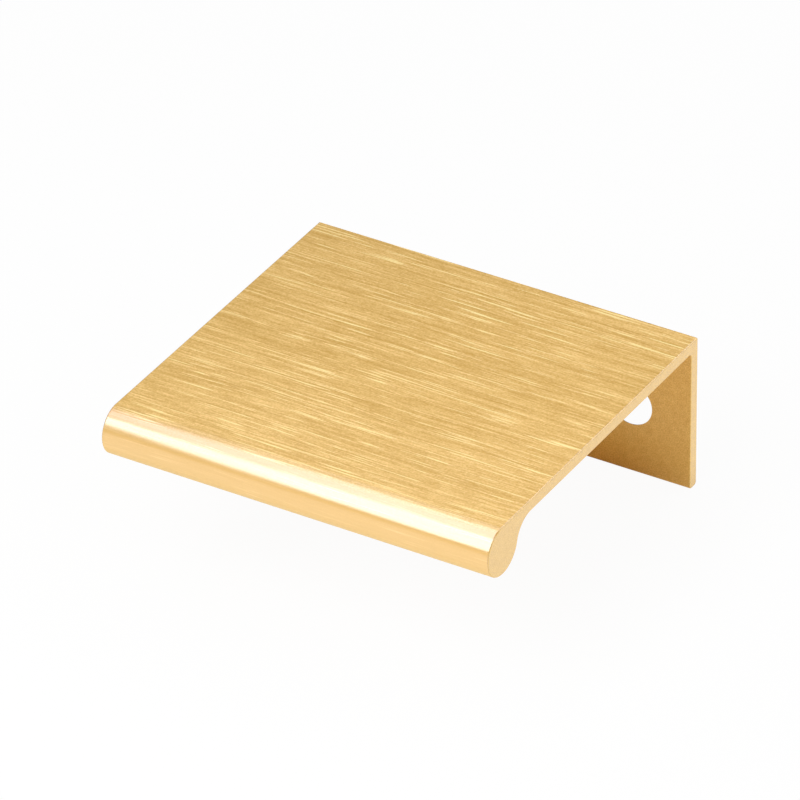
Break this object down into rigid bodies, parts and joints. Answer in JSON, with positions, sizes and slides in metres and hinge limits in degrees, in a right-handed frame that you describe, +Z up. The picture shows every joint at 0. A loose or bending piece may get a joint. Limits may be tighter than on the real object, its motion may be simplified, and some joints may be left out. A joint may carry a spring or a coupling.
{
  "type": "cabinet handle",
  "caption": "Edge pull handle: flat plate for the top edge of a door or drawer front, with a rounded front lip to grip and a thin rear flange with countersunk screw holes.",
  "frame": {"origin": "midway between the two screw holes, on the flange's seating face", "axes": "+X along the pull, +Y to the back of the door, +Z up, so the plate runs forward along -Y and the flange hangs down"},
  "size_m": [0.05, 0.0475, 0.0201],
  "materials": {
    "brushed_gold": "gold anodised aluminium, brushed lengthwise on the plate's top and the lip, matte on the cut ends and the underside"
  },
  "bodies": {
    "root": {"edge_pull": "brushed_gold"}
  },
  "joints": []
}
